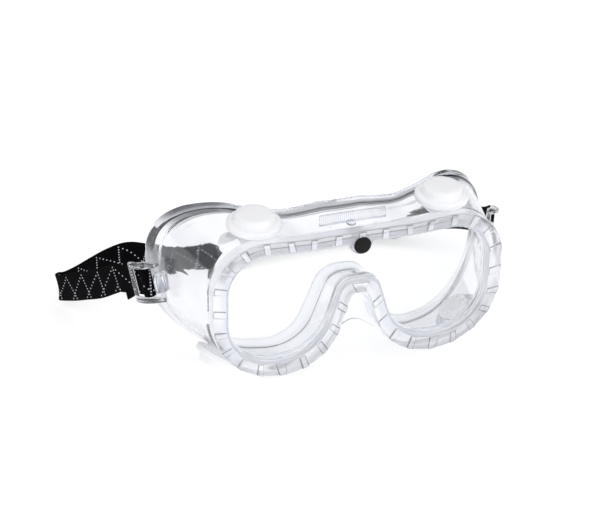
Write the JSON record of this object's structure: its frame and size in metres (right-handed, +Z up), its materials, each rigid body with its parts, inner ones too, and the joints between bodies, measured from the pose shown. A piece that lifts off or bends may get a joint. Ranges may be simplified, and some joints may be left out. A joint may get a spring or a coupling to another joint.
{
  "type": "safety goggles",
  "caption": "Clear indirect-vent splash goggles with one-piece lens, capped vents, swivelling strap clips and a woven elastic strap.",
  "frame": {"origin": "middle of the lens's front face, under the brow stud", "axes": "+Z up, -Y the way the wearer looks, +X to the right of someone facing the lens"},
  "size_m": [0.2278, 0.1427, 0.0883],
  "materials": {
    "body_vinyl": "soft clear vinyl, glossy, faint cool tint",
    "lens_clear": "clear hard sheet, polished",
    "clip_clear": "clear moulded plastic",
    "vent_milky": "milky translucent moulding, satin",
    "stud_black": "black moulded plastic",
    "strap_elastic": "black woven elastic with a white dotted zigzag"
  },
  "bodies": {
    "frame": {"goggle_body": "body_vinyl", "lens": "lens_clear", "brow_stud": "stud_black", "stud_washer": "clip_clear", "vent_seat_top_left": "vent_milky", "vent_baffle_top_left": "vent_milky", "vent_cap_top_left": "vent_milky", "vent_seat_top_right": "vent_milky", "vent_baffle_top_right": "vent_milky", "vent_cap_top_right": "vent_milky", "vent_seat_bottom_left": "vent_milky", "vent_baffle_bottom_left": "vent_milky", "vent_cap_bottom_left": "vent_milky", "vent_seat_bottom_right": "vent_milky", "vent_baffle_bottom_right": "vent_milky", "vent_cap_bottom_right": "vent_milky", "strap_band": "strap_elastic"},
    "clip_left": {"strap_clip_left": "clip_clear", "strap_end_left": "strap_elastic"},
    "clip_right": {"strap_clip_right": "clip_clear", "strap_end_right": "strap_elastic"}
  },
  "joints": [
    {"name": "clip_left_pivot", "type": "hinge", "parent": "frame", "child": "clip_left", "pos_m": [-0.0876, 0.039, -0.0155], "axis": [-0.15, 0.22, 0.9639], "range_deg": [-12, 40]},
    {"name": "clip_right_pivot", "type": "hinge", "parent": "frame", "child": "clip_right", "pos_m": [0.0876, 0.039, -0.0155], "axis": [-0.15, -0.22, -0.9639], "range_deg": [-12, 40]}
  ]
}
